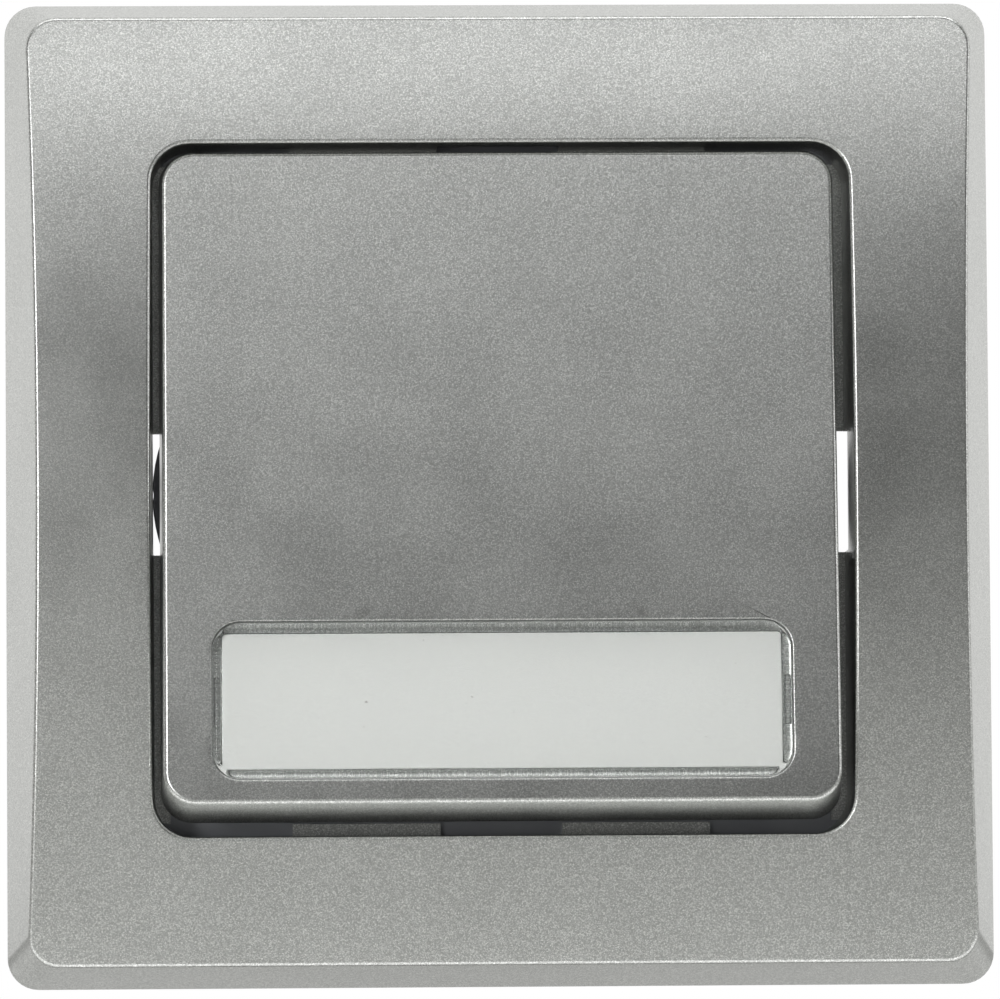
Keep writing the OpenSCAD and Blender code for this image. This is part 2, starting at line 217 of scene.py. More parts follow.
def apply_modifiers(obj):
    """Bakes obj's modifiers into its mesh."""
    bpy.context.view_layer.update()
    evaluated = obj.evaluated_get(bpy.context.evaluated_depsgraph_get())
    mesh = bpy.data.meshes.new_from_object(evaluated)
    obj.modifiers.clear()
    old, obj.data = obj.data, mesh
    bpy.data.meshes.remove(old)


def combine(obj, other, operation):
    """Joins other to obj, or cuts it away, and removes other."""
    modifier = obj.modifiers.new("combine", "BOOLEAN")
    modifier.operation = operation
    modifier.solver = "EXACT"
    modifier.object = other
    apply_modifiers(obj)
    bpy.data.objects.remove(other)


def block_object(boxes, materials, slot=0):
    """One object of several separate blocks."""
    bm = bmesh.new()
    for low, high in boxes:
        box_into(bm, low, high, slot)
    return to_object(bm, "blocks", materials)


def join_blocks(obj, boxes, materials, operation, slot=0):
    """Joins blocks to obj, or cuts them away, one after another."""
    for box in boxes:
        combine(obj, block_object([box], materials, slot), operation)


def outline_prism(name, y0, y1, outline, materials, edge=0.0):
    """A slab from y0 back to y1 whose outline is half sizes and a corner radius.

    Its front edge is rounded by edge.
    """
    half_w, half_h, radius = outline

    def ring(y, inset):
        sizes = half_w - inset, half_h - inset, radius - inset
        return [at_depth(loop_point(i, *sizes), y) for i in range(LOOP)]

    if edge:
        turns = [math.pi / 2 * k / FILLET_STEPS for k in range(FILLET_STEPS, -1, -1)]
        rings = [ring(y0 + edge * (1 - math.sin(a)), edge * (1 - math.cos(a))) for a in turns]
    else:
        rings = [ring(y0, 0)]
    rings.append(ring(y1, 0))
    bm = bmesh.new()
    made = skin(bm, rings)
    for cap in (made[0], made[-1]):
        bm.faces.new(cap)
    return to_object(bm, name, materials)


def soften(obj, width):
    """Rounds the hard edges of a piece and evens out its shading."""
    bevel = obj.modifiers.new("edges", "BEVEL")
    bevel.width = width * MM
    bevel.segments = 2
    bevel.limit_method = "ANGLE"
    bevel.angle_limit = math.radians(40)
    bevel.harden_normals = False
    bevel.use_clamp_overlap = True
    even_shading(obj)


def even_shading(obj):
    """Smooth shading whose normals follow the large faces."""
    for face in obj.data.polygons:
        face.use_smooth = True
    weighted = obj.modifiers.new("normals", "WEIGHTED_NORMAL")
    weighted.keep_sharp = True
    weighted.weight = 100


def mark_corners(obj):
    """Breaks the smooth shading of a built piece at its square corners."""
    bm = bmesh.new()
    bm.from_mesh(obj.data)
    for edge in bm.edges:
        edge.smooth = edge.calc_face_angle(0) < math.radians(50)
    bm.to_mesh(obj.data)
    bm.free()


def finish_piece(obj, body, node):
    """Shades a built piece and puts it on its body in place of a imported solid."""
    mark_corners(obj)
    even_shading(obj)
    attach(obj, body)
    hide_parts(node)


def shift(x, y, z):
    """A move by millimetres."""
    return Matrix.Translation(Vector((x, y, z)) * MM)


def rocker_place():
    """From the rocker's own frame to where the rocker rests."""
    return shift(SIDE_FLOAT, -PIVOT_HEIGHT, 0) @ Matrix.Rotation(-ROCKER_TILT, 4, "X")


# ---------------------------------------------------------------- materials
def new_material(name):
    """An empty node material with an output and a principled shader."""
    material = bpy.data.materials.new(name)
    material.use_nodes = True
    nodes = material.node_tree.nodes
    nodes.clear()
    output = nodes.new("ShaderNodeOutputMaterial")
    shader = nodes.new("ShaderNodeBsdfPrincipled")
    material.node_tree.links.new(shader.outputs[0], output.inputs[0])
    return material, shader


def add(material, kind, **values):
    """A new node, with its input values set by socket name."""
    node = material.node_tree.nodes.new(kind)
    for key, value in values.items():
        name = key.replace("_", " ")
        if name in node.inputs:
            node.inputs[name].default_value = value
        else:
            setattr(node, key, value)
    return node


def link(material, out, into):
    """Joins two sockets of a material."""
    material.node_tree.links.new(out, into)


def place_of(material, stretch=(1, 1, 1)):
    """The piece's own coordinates, scaled."""
    coords = add(material, "ShaderNodeTexCoord")
    mapping = add(material, "ShaderNodeMapping")
    mapping.inputs["Scale"].default_value = stretch
    link(material, coords.outputs["Object"], mapping.inputs["Vector"])
    return mapping.outputs["Vector"]


def noise(material, vector, size_mm, detail=2.0, roughness=0.5):
    """Noise whose features are about size_mm wide."""
    node = add(material, "ShaderNodeTexNoise", Detail=detail, Roughness=roughness)
    node.inputs["Scale"].default_value = 1.0 / (size_mm * MM)
    link(material, vector, node.inputs["Vector"])
    return node


def ramp(material, value, low, high, to_low=0.0, to_high=1.0):
    """Maps value from low..high to to_low..to_high, clamped."""
    node = add(material, "ShaderNodeMapRange")
    for name, number in (("From Min", low), ("From Max", high), ("To Min", to_low), ("To Max", to_high)):
        node.inputs[name].default_value = number
    link(material, value, node.inputs["Value"])
    return node.outputs["Result"]


def mix_colour(material, factor, a, b):
    """Mixes two colours, or a colour and a socket, by a factor socket."""
    node = add(material, "ShaderNodeMix")
    node.data_type = "RGBA"
    link(material, factor, node.inputs["Factor"])
    for socket, value in ((node.inputs[6], a), (node.inputs[7], b)):
        if isinstance(value, bpy.types.NodeSocket):
            link(material, value, socket)
        else:
            socket.default_value = (*value, 1)
    return node.outputs[2]


def bump(material, height, strength, distance_mm):
    """A normal that follows a height socket."""
    node = add(material, "ShaderNodeBump", Strength=strength)
    node.inputs["Distance"].default_value = distance_mm * MM
    link(material, height, node.inputs["Height"])
    return node.outputs["Normal"]


# width of a paint flake, its tilt, and the power that leaves only a few of them bright
FLAKE_SIZE = 0.075
FLAKE_TILT = 0.025
FLAKE_SPARSENESS = 2.0


def paint_flakes(material, vector):
    """The surface normal, tipped a little on each flake of the paint, and the flakes' colours."""
    flakes = add(material, "ShaderNodeTexVoronoi", feature="F1")
    flakes.inputs["Scale"].default_value = 1.0 / (FLAKE_SIZE * MM)
    link(material, vector, flakes.inputs["Vector"])
    centred = add(material, "ShaderNodeVectorMath", operation="SUBTRACT")
    link(material, flakes.outputs["Color"], centred.inputs[0])
    centred.inputs[1].default_value = (0.5, 0.5, 0.5)
    scaled = add(material, "ShaderNodeVectorMath", operation="SCALE")
    link(material, centred.outputs[0], scaled.inputs[0])
    scaled.inputs["Scale"].default_value = 2 * FLAKE_TILT
    geometry = add(material, "ShaderNodeNewGeometry")
    tipped = add(material, "ShaderNodeVectorMath", operation="ADD")
    link(material, geometry.outputs["Normal"], tipped.inputs[0])
    link(material, scaled.outputs[0], tipped.inputs[1])
    unit = add(material, "ShaderNodeVectorMath", operation="NORMALIZE")
    link(material, tipped.outputs[0], unit.inputs[0])
    return unit.outputs[0], flakes.outputs["Color"]


def silver_paint():
    """Satin silver paint: tipped flakes, a few of them bright, with slow mottling."""
    material, shader = new_material("silver_paint")
    here = place_of(material)
    normal, flake_colour = paint_flakes(material, here)
    mottle = noise(material, here, 9.0)
    split = add(material, "ShaderNodeSeparateColor")
    link(material, flake_colour, split.inputs[0])
    sparkle = add(material, "ShaderNodeMath", operation="POWER")
    link(material, split.outputs[0], sparkle.inputs[0])
    sparkle.inputs[1].default_value = FLAKE_SPARSENESS
    dark = mix_colour(material, mottle.outputs["Fac"], (0.445, 0.455, 0.44), (0.465, 0.475, 0.46))
    flake = mix_colour(material, sparkle.outputs[0], dark, (0.96, 0.97, 0.945))
    link(material, flake, shader.inputs["Base Color"])
    shader.inputs["Metallic"].default_value = 1.0
    shader.inputs["Coat Weight"].default_value = 0.6
    shader.inputs["Coat Roughness"].default_value = 0.14
    link(material, ramp(material, mottle.outputs["Fac"], 0.3, 0.7, 0.29, 0.33), shader.inputs["Roughness"])
    link(material, normal, shader.inputs["Normal"])
    return material


def moulded(name, colour, roughness=0.5):
    """Moulded plastic: a fine spark-eroded texture and slight colour variation."""
    material, shader = new_material(name)
    here = place_of(material)
    fine = noise(material, here, 0.35, detail=4.0, roughness=0.6)
    slow = noise(material, here, 7.0)
    darker = tuple(c * 0.93 for c in colour)
    link(material, mix_colour(material, slow.outputs["Fac"], darker, colour), shader.inputs["Base Color"])
    low, high = roughness - 0.08, roughness + 0.08
    link(material, ramp(material, fine.outputs["Fac"], 0.3, 0.7, low, high), shader.inputs["Roughness"])
    link(material, bump(material, fine.outputs["Fac"], 0.3, 0.02), shader.inputs["Normal"])
    return material


def rolled_metal(name, colour, roughness=0.3, tint=None, spread=0.1):
    """Rolled or stamped metal: fine lines along the sheet and cloudy plating."""
    material, shader = new_material(name)
    here = place_of(material)
    lines = noise(material, place_of(material, (1, 1, 12)), 0.5, detail=3.0, roughness=0.7)
    cloud = noise(material, here, 5.0, detail=3.0)
    tint = tint or tuple(c * 0.85 for c in colour)
    link(material, mix_colour(material, cloud.outputs["Fac"], tint, colour), shader.inputs["Base Color"])
    shader.inputs["Metallic"].default_value = 1.0
    low, high = roughness - spread, roughness + spread
    link(material, ramp(material, lines.outputs["Fac"], 0.3, 0.7, low, high), shader.inputs["Roughness"])
    link(material, bump(material, lines.outputs["Fac"], 0.2, 0.01), shader.inputs["Normal"])
    return material


def card_stock():
    """Uncoated white card: fibres in its tone and its surface, and a few specks."""
    material, shader = new_material("card")
    here = place_of(material)
    fibre = noise(material, place_of(material, (1, 1, 2.2)), 0.35, detail=5.0, roughness=0.7)
    cloud = noise(material, here, 3.0, detail=3.0)
    fibres = ramp(material, fibre.outputs["Fac"], 0.25, 0.75)
    paper = mix_colour(material, fibres, (0.70, 0.70, 0.685), (0.79, 0.79, 0.775))
    clouds = ramp(material, cloud.outputs["Fac"], 0.3, 0.7, 0.0, 0.25)
    paper = mix_colour(material, clouds, paper, (0.73, 0.73, 0.71))
    speck = noise(material, here, 0.5, detail=1.0)
    specks = ramp(material, speck.outputs["Fac"], 0.78, 0.82)
    link(material, mix_colour(material, specks, paper, (0.45, 0.44, 0.42)), shader.inputs["Base Color"])
    shader.inputs["Roughness"].default_value = 0.85
    shader.inputs["Specular IOR Level"].default_value = 0.25
    link(material, bump(material, fibre.outputs["Fac"], 0.4, 0.02), shader.inputs["Normal"])
    return material


def clear_plastic():
    """Polished clear plastic. Light on its way to the card passes straight through."""
    material, shader = new_material("clear_window")
    here = place_of(material)
    shader.inputs["Base Color"].default_value = (0.97, 0.98, 0.975, 1)
    shader.inputs["Transmission Weight"].default_value = 1.0
    shader.inputs["IOR"].default_value = 1.49
    smear = noise(material, here, 6.0, detail=3.0)
    link(material, ramp(material, smear.outputs["Fac"], 0.35, 0.75, 0.015, 0.05), shader.inputs["Roughness"])
    output = material.node_tree.nodes["Material Output"]
    path = add(material, "ShaderNodeLightPath")
    through = add(material, "ShaderNodeBsdfTransparent")
    through.inputs[0].default_value = (0.95, 0.96, 0.955, 1)
    mix = add(material, "ShaderNodeMixShader")
    link(material, path.outputs["Is Shadow Ray"], mix.inputs[0])
    link(material, shader.outputs[0], mix.inputs[1])
    link(material, through.outputs[0], mix.inputs[2])
    link(material, mix.outputs[0], output.inputs[0])
    return material


SILVER = silver_paint()
SHELL = moulded("shell_plastic", (0.045, 0.046, 0.048))
CARD = card_stock()
CLEAR = clear_plastic()
ZINC = rolled_metal("zinc_steel", (0.42, 0.43, 0.45), roughness=0.38, tint=(0.32, 0.33, 0.36), spread=0.05)
SPRING_STEEL = rolled_metal("spring_steel", (0.55, 0.56, 0.58))
BRASS = rolled_metal("brass", (0.80, 0.60, 0.28), tint=(0.66, 0.46, 0.20))
CONTACT_SILVER = rolled_metal("contact_silver", (0.86, 0.85, 0.83), roughness=0.2, spread=0.06)
WHITE_PLASTIC = moulded("white_plastic", (0.76, 0.76, 0.73), roughness=0.45)
GREY_PLASTIC = moulded("grey_plastic", (0.30, 0.31, 0.32))
LIGHT_PLASTIC = moulded("light_plastic", (0.72, 0.72, 0.69), roughness=0.35)
DARK_PLASTIC = moulded("dark_plastic", (0.03, 0.03, 0.035), roughness=0.35)
BUTTON_PLASTIC = moulded("button_plastic", (0.72, 0.23, 0.03), roughness=0.35)

# the frame and the cap are painted outside and bare inside
PAINTED_SHELL = [SILVER, SHELL]
PAINTED, BARE = 0, 1


# ---------------------------------------------------------------- cover frame
def arch(z, crown=CROWN):
    """Height of the arched face above the wall, at height z."""
    return crown - ARCH_RADIUS + math.sqrt(ARCH_RADIUS**2 - z * z)


def on_side(i, half, radius, crown):
    """The point where the frame's sloping side meets the arch, and its height above the wall."""
    rise = arch(half, crown)
    for _ in range(MEET_STEPS):
        p = loop_point(i, half - SIDE_SLOPE * rise, half - SIDE_SLOPE * rise, radius)
        rise = arch(p.y, crown)
    return p, rise


def outer_rings():
    """The frame's outside, from its rear rim up the sloping side and round the front edge."""
    edge, base_edge, base_band = 0.27, 0.15, 1.2
    rim_half = FRAME_HALF - base_edge
    columns = []
    for i in range(LOOP):
        p, rise = on_side(i, FRAME_HALF, FRAME_CORNER_R, CROWN)
        crest = at_depth(p, -rise)
        base = at_depth(loop_point(i, FRAME_HALF, FRAME_HALF, FRAME_CORNER_R), 0)
        down = (base - crest).normalized()
        face_half = FRAME_HALF - SIDE_SLOPE * rise - edge
        q = loop_point(i, face_half, face_half, FRAME_CORNER_R - edge)
        rim = loop_point(i, rim_half, rim_half, FRAME_CORNER_R - base_edge)
        column = [at_depth(rim, 0), base - down * base_edge, base - down * base_band]
        column += fillet(crest + down * edge, crest, at_depth(q, -arch(q.y)))
        columns.append(column)
    return across(columns)


def opening_half(rise):
    """Half sizes of the opening at a height above the wall."""
    drop = OPENING_SLOPE * (CROWN - max(rise, THROAT))
    return OPENING_HALF_W - drop, OPENING_HALF_H - drop


def opening_rings():
    """The rounded edge of the opening and the wall below it, down to the plate."""
    edge = 0.3
    below_throat, mid_wall = THROAT - 0.5, 4.0
    columns = []
    for i in range(LOOP):
        rise = CROWN
        for _ in range(MEET_STEPS):
            p = loop_point(i, *opening_half(rise), OPENING_R)
            rise = arch(p.y)
        half_w, half_h = opening_half(rise)
        q = loop_point(i, half_w + edge, half_h + edge, OPENING_R + edge)
        low = loop_point(i, *opening_half(rise - edge), OPENING_R)
        column = fillet(at_depth(q, -arch(q.y)), at_depth(p, -rise), at_depth(low, edge - rise))
        for height in (rise - 2 * edge, below_throat, mid_wall, LEDGE_BACK):
            column.append(at_depth(loop_point(i, *opening_half(height), OPENING_R), -height))
        columns.append(column)
    return across(columns)


def face_rings(outer, inner):
    """The arched face between two loops."""
    rings = []
    for k in range(1, FACE_STEPS):
        ring = [a.lerp(b, k / FACE_STEPS) for a, b in zip(outer, inner)]
        rings.append([Vector((p.x, -arch(p.z), p.z)) for p in ring])
    return rings


def hollow_rings():
    """The frame's underside: up the skirt, across the ceiling and down inside the outer side."""
    ceiling = CROWN - FRAME_WALL
    inner = FRAME_HALF - FRAME_WALL
    corner_r, foot_r, foot_band = 1.0, 1.2, 0.3
    columns = []
    for i in range(LOOP):
        s = loop_point(i, SKIRT_HALF, SKIRT_HALF, SKIRT_R)
        p, rise = on_side(i, inner, corner_r, ceiling)
        foot = loop_point(i, inner, inner, foot_r)
        skirt_top, top = at_depth(s, -arch(s.y, ceiling)), at_depth(p, -rise)
        column = [at_depth(s, -LEDGE_BACK), skirt_top]
        for t in (0.33, 0.66):
            q = skirt_top.lerp(top, t)
            column.append(Vector((q.x, -arch(q.z, ceiling), q.z)))
        column += [top, at_depth(foot, -foot_band), at_depth(foot, 0)]
        columns.append(column)
    return across(columns)


def turned(boxes, quarter):
    """Blocks turned a quarter at a time about the Y axis."""
    made = []
    for low, high in boxes:
        corners = []
        for x, y, z in (low, high):
            for _ in range(quarter):
                x, z = z, -x
            corners.append((x, y, z))
        made.append((tuple(map(min, *corners)), tuple(map(max, *corners))))
    return made


def both_sides(boxes):
    """Blocks and their copies half a turn about the Y axis away."""
    return boxes + turned(boxes, 2)


def ledge_pads():
    """Raised pads on the ledge at the frame's foot, on both sides of each notch."""
    deep = SKIRT_HALF - 1
    sides, ends = [], []
    for s in (-1, 1):
        low, high = sorted((s * NOTCH_HALF, s * SIDE_PAD_END))
        sides.append(((LEDGE_HALF, -LEDGE_FRONT, low), (deep, -LEDGE_BACK, high)))
        low, high = sorted((s * NOTCH_HALF, s * END_PAD_END))
        ends.append(((low, -LEDGE_FRONT, LEDGE_HALF), (high, -LEDGE_BACK, deep)))
    return both_sides(sides) + both_sides(ends)


def lug_ribs():
    """Ribs that grip the plate's lugs from above and below."""
    left, right = LUG_X - 1.4, LUG_X + 4.6
    front, back = -8.2, -PLATE_T - 0.3
    ribs = []
    for s in (-1, 1):
        for e in (-1, 1):
            z = s * LUG_Z + e * (LUG_W / 2 + RIB_OFFSET)
            ribs.append(((left, front, z - RIB_HALF), (right, back, z + RIB_HALF)))
    return both_sides(ribs)


def build_cover_frame():
    """The painted frame, hollow behind, with its ledge, ribs and notches."""
    outer, inner = outer_rings(), opening_rings()
    outside = outer + face_rings(outer[-1], inner[0]) + inner
    underside = hollow_rings()
    bm = bmesh.new()
    slots = [PAINTED] * (len(outside) - 1) + [BARE] * (len(underside) + 1)
    skin(bm, outside + underside, closed=True, slots=slots)
    body = to_object(bm, "cover_frame_shell", PAINTED_SHELL)
    combine(body, block_object(ledge_pads(), PAINTED_SHELL), "UNION")
    combine(body, block_object(lug_ribs(), PAINTED_SHELL, BARE), "UNION")
    notch = (LEDGE_HALF - 1, -NOTCH_DEPTH, -NOTCH_HALF), (NOTCH_REACH, 0.5, NOTCH_HALF)
    notches = [box for quarter in range(4) for box in turned([notch], quarter)]
    combine(body, block_object(notches, PAINTED_SHELL, BARE), "DIFFERENCE")
    body.data.transform(shift(FRAME_SHIFT, 0, 0))
    finish_piece(body, "root", "cover_frame")


# ---------------------------------------------------------------- rocker
def rocker_front(z):
    """Y of the rocker's gently crowned face, in its own frame."""
    return -ROCKER_REACH - ROCKER_CROWN * (1 - (z / ROCKER_HALF_H) ** 2)


def rocker_shell(half_w, half_h, radius, inset):
    """Rings from the rim up the wall, over the edge and in towards the middle of the face."""
    edge, base_edge, base_band = 0.36, 0.15, 0.8
    rim = ROCKER_REACH - ROCKER_DEPTH
    foot_w, foot_h = half_w + SIDE_DRAFT * ROCKER_DEPTH, half_h + END_DRAFT * ROCKER_DEPTH
    columns = []
    for i in range(LOOP):
        crest = loop_point(i, half_w, half_h, radius)
        q = loop_point(i, half_w - edge, half_h - edge, radius - edge)
        middle = loop_point(i, 3.0, 3.0, 0.5)
        inner = loop_point(i, foot_w - base_edge, foot_h - base_edge, radius - base_edge)
        top = at_depth(crest, rocker_front(crest.y) + inset)
        base = at_depth(loop_point(i, foot_w, foot_h, radius), -rim)
        down = (base - top).normalized()
        column = [at_depth(inner, -rim), base - down * base_edge, base - down * base_band]
        column += fillet(top + down * edge, top, at_depth(q, rocker_front(q.y) + inset))
        for k in range(1, FACE_STEPS + 1):
            p = q.lerp(middle, k / FACE_STEPS)
            column.append(at_depth(p, rocker_front(p.y) + inset))
        columns.append(column)
    return across(columns)


def hollow_cap():
    """The rocker's cap as an open shell, painted outside and bare inside."""
    outside = rocker_shell(ROCKER_HALF_W, ROCKER_HALF_H, ROCKER_R, 0.0)
    inside = rocker_shell(ROCKER_HALF_W - CAP_WALL, ROCKER_HALF_H - CAP_WALL, 2.0, CAP_T)
    bm = bmesh.new()
    made_out = skin(bm, outside)
    made_in = skin(bm, inside, slots=[BARE] * len(inside))
    cap = bm.faces.new(made_out[-1])
    cap.smooth = True
    bm.faces.new(made_in[-1]).material_index = BARE
    for i in range(LOOP):
        j = (i + 1) % LOOP
        rim = bm.faces.new((made_out[0][i], made_out[0][j], made_in[0][j], made_in[0][i]))
        rim.material_index = BARE
    return to_object(bm, "rocker_shell", PAINTED_SHELL)


def cap_blocks():
    """Inside the cap: the tray behind the label, the stiffening ribs and the hooks for the cradle."""
    half_w, half_h = WINDOW_W / 2, WINDOW_H / 2
    tray_low = -half_w - 1.5, ROCKER_INSIDE, WINDOW_Z - half_h - 1.2
    tray_high = half_w + 1.5, POCKET_BACK + 1.0, WINDOW_Z + half_h + 1.2
    blocks, tips = [(tray_low, tray_high)], []
    for s in (-1, 1):
        left, right = s * STIFFENER_X - STIFFENER_HALF_T, s * STIFFENER_X + STIFFENER_HALF_T
        blocks.append(((left, ROCKER_INSIDE, -10.5), (right, -ROCKER_REACH + 3, 24)))
        left, right = s * HOOK_X - HOOK_HALF_W, s * HOOK_X + HOOK_HALF_W
        for e in (-1, 1):
            z, tip_z = e * HOOK_Z, e * (HOOK_Z + HOOK_HALF_T)
            blocks.append(((left, ROCKER_INSIDE, z - HOOK_HALF_T), (right, -2.2, z + HOOK_HALF_T)))
            tips.append(((left, -3.4, tip_z - HOOK_HALF_T), (right, -2.6, tip_z + HOOK_HALF_T)))
    return blocks + tips


def end_blocks(inset, half_w, half_h, front, back, z):
    """A block at each end of the window, in the channel beside the card."""
    blocks = []
    for s in (-1, 1):
        x = s * (WINDOW_W / 2 - inset)
        blocks.append(((x - half_w, front, z - half_h), (x + half_w, back, z + half_h)))
    return blocks


def build_rocker():
    """The painted rocker, with its label pocket and the recesses for the window's clips."""
    body = hollow_cap()
    join_blocks(body, cap_blocks(), PAINTED_SHELL, "UNION", BARE)
    outline = WINDOW_W / 2 + 0.06, WINDOW_H / 2 + 0.06, WINDOW_R
    pocket = outline_prism("pocket", -ROCKER_REACH - 1, POCKET_BACK, outline, PAINTED_SHELL)
    pocket.data.transform(WINDOW_PLACE)
    combine(body, pocket, "DIFFERENCE")
    recesses = end_blocks(*CLIP_RECESS, ROCKER_INSIDE, POCKET_BACK + RECESS_DEPTH, WINDOW_Z)
    join_blocks(body, recesses, PAINTED_SHELL, "DIFFERENCE")
    round_pocket_edge(body)
    body.data.transform(rocker_place())
    finish_piece(body, "rocker", "rocker_cap")


def round_pocket_edge(body):
    """A small radius on the front edge of the label pocket."""
    bm = bmesh.new()
    bm.from_mesh(body.data)
    front = (-ROCKER_REACH + 0.3) * MM
    reach_x, reach_z = (WINDOW_W / 2 + 0.1) * MM, (WINDOW_H / 2 + 0.1) * MM
    edges = []
    for e in bm.edges:
        inside = all(abs(v.co.x) < reach_x and abs(v.co.z - WINDOW_Z * MM) < reach_z for v in e.verts)
        in_front = all(v.co.y <= front for v in e.verts)
        if inside and in_front and len(e.link_faces) == 2 and e.calc_face_angle(0) > math.radians(60):
            edges.append(e)
    bmesh.ops.bevel(bm, geom=edges, offset=POCKET_ROUND * MM, segments=4, profile=0.5, affect="EDGES")
    for face in bm.faces:
        face.smooth = True
    bm.to_mesh(body.data)
    bm.free()


def build_label():
    """The clear window, hollow behind and with a clip at each end, and the card under it."""
    under = -ROCKER_REACH + WINDOW_T
    back = POCKET_BACK - 0.02
    outline = WINDOW_W / 2, WINDOW_H / 2, WINDOW_R
    front = -ROCKER_REACH - ROCKER_CROWN * 0.5
    window = outline_prism("label_window_lens", front, back, outline, [CLEAR], edge=0.4)
    outline = CARD_W / 2 + 0.1, CARD_H / 2 + 0.1, CARD_R + 0.1
    recess = outline_prism("recess", under, back + 1, outline, [CLEAR], edge=0.1)
    combine(window, recess, "DIFFERENCE")
    join_blocks(window, end_blocks(*CLIP, under, POCKET_BACK + CLIP_DEPTH, 0), [CLEAR], "UNION")
    outline = CARD_W / 2, CARD_H / 2, CARD_R
    card = outline_prism("label_card_sheet", back - CARD_T, back, outline, [CARD], edge=0.04)
    for piece, node, slot in ((window, "label_window", "clear_window"), (card, "label_card", "card")):
        piece.data.transform(WINDOW_PLACE)
        piece.data.transform(rocker_place())
        finish_piece(piece, "rocker", node)


# ---------------------------------------------------------------- plunger spring
def build_spring():
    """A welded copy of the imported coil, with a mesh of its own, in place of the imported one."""
    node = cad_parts["plunger_spring"]
    coil = bpy.data.objects.new("plunger_coil", node.data.copy())
    coil.matrix_world = node.matrix_world.copy()
    bpy.context.scene.collection.objects.link(coil)
    bm = bmesh.new()
    bm.from_mesh(coil.data)
    bmesh.ops.remove_doubles(bm, verts=bm.verts, dist=WELD_GAP)
    bm.to_mesh(coil.data)
    bm.free()
    coil.data.materials.clear()
    coil.data.materials.append(SPRING_STEEL)
    finish_piece(coil, "rocker", "plunger_spring")
    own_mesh(coil)


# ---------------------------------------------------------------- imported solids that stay
LOOKS = {
    "support_plate": ZINC,
    "bearing_bridge": GREY_PLASTIC,
    "bridge_screws": ZINC,
    "base_housing": WHITE_PLASTIC,
    "rear_cover": WHITE_PLASTIC,
    "rocker_cradle": LIGHT_PLASTIC,
    "plunger": DARK_PLASTIC,
    "contact_lever": BRASS,
    "lever_pin": SPRING_STEEL,
    "moving_contacts": CONTACT_SILVER,
    "fixed_contacts": CONTACT_SILVER,
    "common_terminal": BRASS,
    "upper_terminal": BRASS,
    "lower_terminal": BRASS,
    "common_clamp_spring": SPRING_STEEL,
    "upper_clamp_spring": SPRING_STEEL,
    "lower_clamp_spring": SPRING_STEEL,
    "common_release_button": BUTTON_PLASTIC,
    "upper_release_button": BUTTON_PLASTIC,
    "lower_release_button": BUTTON_PLASTIC,
}

EDGE_RADII = {
    "support_plate": 0.12,
    "bearing_bridge": 0.2,
    "bridge_screws": 0.1,
    "base_housing": 0.3,
    "rear_cover": 0.3,
    "rocker_cradle": 0.15,
    "contact_lever": 0.08,
    "common_terminal": 0.1,
    "upper_terminal": 0.1,
    "lower_terminal": 0.1,
    "common_release_button": 0.2,
    "upper_release_button": 0.2,
    "lower_release_button": 0.2,
}


def dress_nodes():
    """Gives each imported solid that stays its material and, where it has hard edges, rounds them."""
    for name, material in LOOKS.items():
        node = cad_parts[name]
        node.data.materials.clear()
        node.data.materials.append(material)
        if name in EDGE_RADII:
            weld = node.modifiers.new("weld", "WELD")
            weld.merge_threshold = WELD_GAP
            # flat faces in one piece, so that the rounded edges meet without gaps
            flat = node.modifiers.new("flat", "DECIMATE")
            flat.decimate_type = "DISSOLVE"
            flat.angle_limit = math.radians(0.5)
            soften(node, EDGE_RADII[name])


# ---------------------------------------------------------------- stage
FLOOR_Z = -60.0
# the world's strength in front and behind, and how far along Y it fades between them
FRONT_STRENGTH = 0.042
BACK_STRENGTH = 0.78
FADE_START = -0.75
FADE_END = 0.35
# name, place and aim in mm, width and height in mm, power in watts
LIGHTS = [
    ("overhead", (0, -110, 300), (0, 0, 0), (360, 110), 0.3),
    ("high_front", (0, -620, 330), (0, 0, 0), (500, 100), 0.33),
    ("left_front", (-330, -620, 40), (0, 0, 0), (120, 500), 1.9),
    ("right_side", (600, -250, 40), (0, 0, 0), (300, 600), 0.6),
    ("table_glow", (0, -78, -59), (0, -78, 0), (200, 30), 0.003),
    ("near_glow", (0, -24, -59), (0, -24, 0), (200, 34), 0.018),
    ("back_glow", (0, 60, -59), (0, 60, 0), (240, 90), 0.012),
]


def build_stage():
    """A plain pale floor under the object."""
    bm = bmesh.new()
    bmesh.ops.create_grid(bm, x_segments=1, y_segments=1, size=3.0)
    material, shader = new_material("floor")
    tone = noise(material, place_of(material), 60.0)
    colour = mix_colour(material, tone.outputs["Fac"], (0.52, 0.52, 0.51), (0.56, 0.56, 0.55))
    link(material, colour, shader.inputs["Base Color"])
    shader.inputs["Roughness"].default_value = 0.7
    floor = to_object(bm, "floor", [material])
    floor.location = (0, 0, FLOOR_Z * MM)


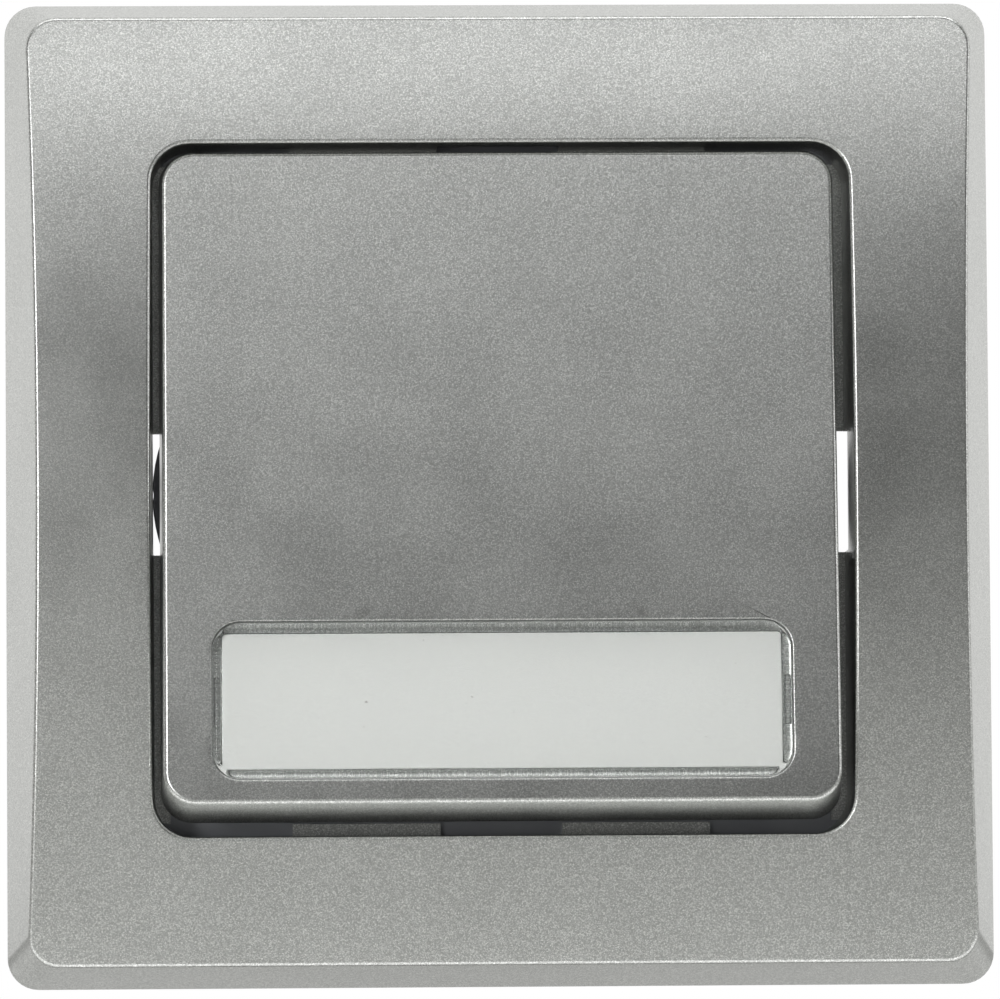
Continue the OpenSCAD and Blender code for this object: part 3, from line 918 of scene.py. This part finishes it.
def build_world():
    """White behind the object and for the camera; dimmer in front, where the camera stands."""
    world = bpy.data.worlds.new("studio")
    bpy.context.scene.world = world
    world.use_nodes = True
    tree = world.node_tree
    tree.nodes.clear()
    output = tree.nodes.new("ShaderNodeOutputWorld")
    seen = tree.nodes.new("ShaderNodeBackground")
    around = tree.nodes.new("ShaderNodeBackground")
    path = tree.nodes.new("ShaderNodeLightPath")
    mix = tree.nodes.new("ShaderNodeMixShader")
    coords = tree.nodes.new("ShaderNodeTexCoord")
    split = tree.nodes.new("ShaderNodeSeparateXYZ")
    depth = tree.nodes.new("ShaderNodeMapRange")
    depth.interpolation_type = "SMOOTHSTEP"
    depth.inputs["From Min"].default_value = FADE_START
    depth.inputs["From Max"].default_value = FADE_END
    depth.inputs["To Min"].default_value = FRONT_STRENGTH
    depth.inputs["To Max"].default_value = BACK_STRENGTH
    seen.inputs["Color"].default_value = (1, 1, 1, 1)
    around.inputs["Color"].default_value = (1, 1, 0.985, 1)
    tree.links.new(coords.outputs["Generated"], split.inputs[0])
    tree.links.new(split.outputs["Y"], depth.inputs["Value"])
    tree.links.new(depth.outputs["Result"], around.inputs["Strength"])
    tree.links.new(path.outputs["Is Camera Ray"], mix.inputs[0])
    tree.links.new(around.outputs[0], mix.inputs[1])
    tree.links.new(seen.outputs[0], mix.inputs[2])
    tree.links.new(mix.outputs[0], output.inputs[0])


def build_lights():
    """Soft lights above, in front and to the right, and a faint glow off the table."""
    for name, place, aim, size, power in LIGHTS:
        light = bpy.data.lights.new(name, "AREA")
        light.shape = "RECTANGLE"
        light.size, light.size_y = size[0] * MM, size[1] * MM
        light.energy = power
        lamp = bpy.data.objects.new(name, light)
        lamp.location = Vector(place) * MM
        lamp.visible_camera = False
        lamp.rotation_euler = (Vector(aim) - Vector(place)).to_track_quat("-Z", "Y").to_euler()
        bpy.context.scene.collection.objects.link(lamp)


def build_camera():
    """A long lens a little below and to the left of the switch's middle."""
    place = Vector((-24.06, -725.07, -43.42))
    yaw, pitch, roll = 0.0339, 0.0592, -0.0069
    forward = Vector((math.sin(yaw) * math.cos(pitch), math.cos(yaw) * math.cos(pitch), math.sin(pitch)))
    right = Vector((math.cos(yaw), -math.sin(yaw), 0))
    up = right.cross(forward)
    x_axis = math.cos(roll) * right + math.sin(roll) * up
    y_axis = -math.sin(roll) * right + math.cos(roll) * up
    turn = Matrix((x_axis, y_axis, -forward)).transposed().to_4x4()
    data = bpy.data.cameras.new("camera")
    data.sensor_width = 36.0
    data.lens = 314.05
    data.clip_start = 0.01
    camera = bpy.data.objects.new("camera", data)
    camera.matrix_world = Matrix.Translation(place * MM) @ turn
    bpy.context.scene.collection.objects.link(camera)
    bpy.context.scene.camera = camera


bpy.context.scene.view_settings.view_transform = "Standard"
build_camera()
build_stage()
build_world()
build_lights()
build_cover_frame()
build_rocker()
build_label()
build_spring()
dress_nodes()
